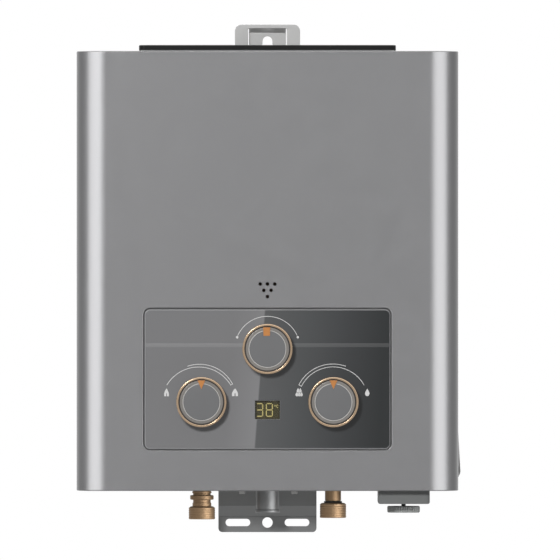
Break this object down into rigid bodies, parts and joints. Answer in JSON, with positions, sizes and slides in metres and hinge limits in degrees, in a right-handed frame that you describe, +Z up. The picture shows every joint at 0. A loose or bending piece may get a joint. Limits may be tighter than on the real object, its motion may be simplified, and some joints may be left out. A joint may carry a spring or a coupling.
{
  "type": "gas water heater",
  "caption": "Wall-hung instantaneous gas water heater with a metallic grey rounded casing, a glossy panel with turning knobs and a display, a slotted exhaust cap and threaded water ends below.",
  "frame": {"origin": "centre of the keyhole's large circle in the upper hanger, on the wall plane", "axes": "+X to the right seen from the front, +Y into the wall, +Z up"},
  "size_m": [0.3058, 0.1382, 0.4065],
  "materials": {
    "casing_paint": "satin",
    "galvanised": "satin",
    "bracket_steel": "satin",
    "black_enamel": "satin",
    "zinc_screw": "satin",
    "smoked_glass": "gloss",
    "display_lens": "gloss",
    "black_plastic": "matte",
    "circuit_board": "satin",
    "knob_metal": "satin",
    "knob_cap": "matte",
    "pointer": "satin",
    "brass": "satin",
    "steel_mesh": "satin",
    "steel_tube": "satin",
    "grey_plastic": "matte",
    "battery_cell": "gloss",
    "spring_steel": "satin",
    "rubber": "matte",
    "die_cast": "satin",
    "copper": "satin",
    "ceramic_white": "satin"
  },
  "bodies": {
    "casing": {"back_plate": "galvanised", "battery_contacts": "spring_steel", "battery_housing": "grey_plastic", "bottom_plate": "galvanised", "bracket_rivets": "zinc_screw", "burner_bars": "spring_steel", "burner_frame": "spring_steel", "chamber_struts": "galvanised", "cold_feed_pipe": "copper", "cold_inlet_fitting": "brass", "combustion_chamber": "copper", "cover_screws": "zinc_screw", "diaphragm": "rubber", "display_board": "circuit_board", "display_module": "black_plastic", "display_window": "display_lens", "draft_hood": "galvanised", "exchanger_tubes": "copper", "exhaust_grille": "black_enamel", "fin_stack": "copper", "flame_electrode": "ceramic_white", "front_cover": "casing_paint", "gas_inlet_stub": "steel_tube", "gas_jets": "brass", "gas_manifold": "die_cast", "gas_riser": "die_cast", "gas_valve_body": "die_cast", "hot_outlet_pipe": "brass", "ignition_electrode": "ceramic_white", "ignition_module": "black_plastic", "inlet_filter": "steel_mesh", "lower_bracket": "bracket_steel", "microswitch": "black_plastic", "outlet_collar": "galvanised", "overheat_thermostat": "spring_steel", "panel_carrier": "black_plastic", "panel_glass": "smoked_glass", "return_headers": "copper", "solenoid_valve": "spring_steel", "top_plate": "casing_paint", "upper_hanger": "galvanised", "water_valve_body": "brass", "water_valve_cover": "brass"},
    "season_knob": {"season_knob": "knob_metal", "season_knob_cap": "knob_cap", "season_knob_pointer": "pointer"},
    "flame_knob": {"flame_knob": "knob_metal", "flame_knob_cap": "knob_cap", "flame_knob_pointer": "pointer"},
    "flow_knob": {"flow_knob": "knob_metal", "flow_knob_cap": "knob_cap", "flow_knob_pointer": "pointer"},
    "battery_drawer": {"battery_drawer": "grey_plastic", "battery_cells": "battery_cell"},
    "thumb_screw": {"battery_thumbscrew": "grey_plastic"},
    "push_rod": {"valve_push_rod": "spring_steel"}
  },
  "joints": [
    {"name": "season_turn", "type": "hinge", "parent": "casing", "child": "season_knob", "pos_m": [0, -0.128, -0.2394], "axis": [0, 1, 0], "range_deg": [-69, 69]},
    {"name": "flame_turn", "type": "hinge", "parent": "casing", "child": "flame_knob", "pos_m": [-0.0524, -0.128, -0.2816], "axis": [0, 1, 0], "range_deg": [-62, 62]},
    {"name": "flow_turn", "type": "hinge", "parent": "casing", "child": "flow_knob", "pos_m": [0.0524, -0.128, -0.2816], "axis": [0, 1, 0], "range_deg": [-62, 62]},
    {"name": "drawer_slide", "type": "slide", "parent": "casing", "child": "battery_drawer", "axis": [0, 0, -1], "range_m": [0, 0.075]},
    {"name": "thumb_turn", "type": "hinge", "parent": "battery_drawer", "child": "thumb_screw", "pos_m": [0.10855, -0.06, -0.3676], "axis": [0, 0, 1], "continuous": true},
    {"name": "rod_push", "type": "slide", "parent": "casing", "child": "push_rod", "axis": [-1, 0, 0], "range_m": [0, 0.0025], "stiffness_N_per_m": 200}
  ]
}
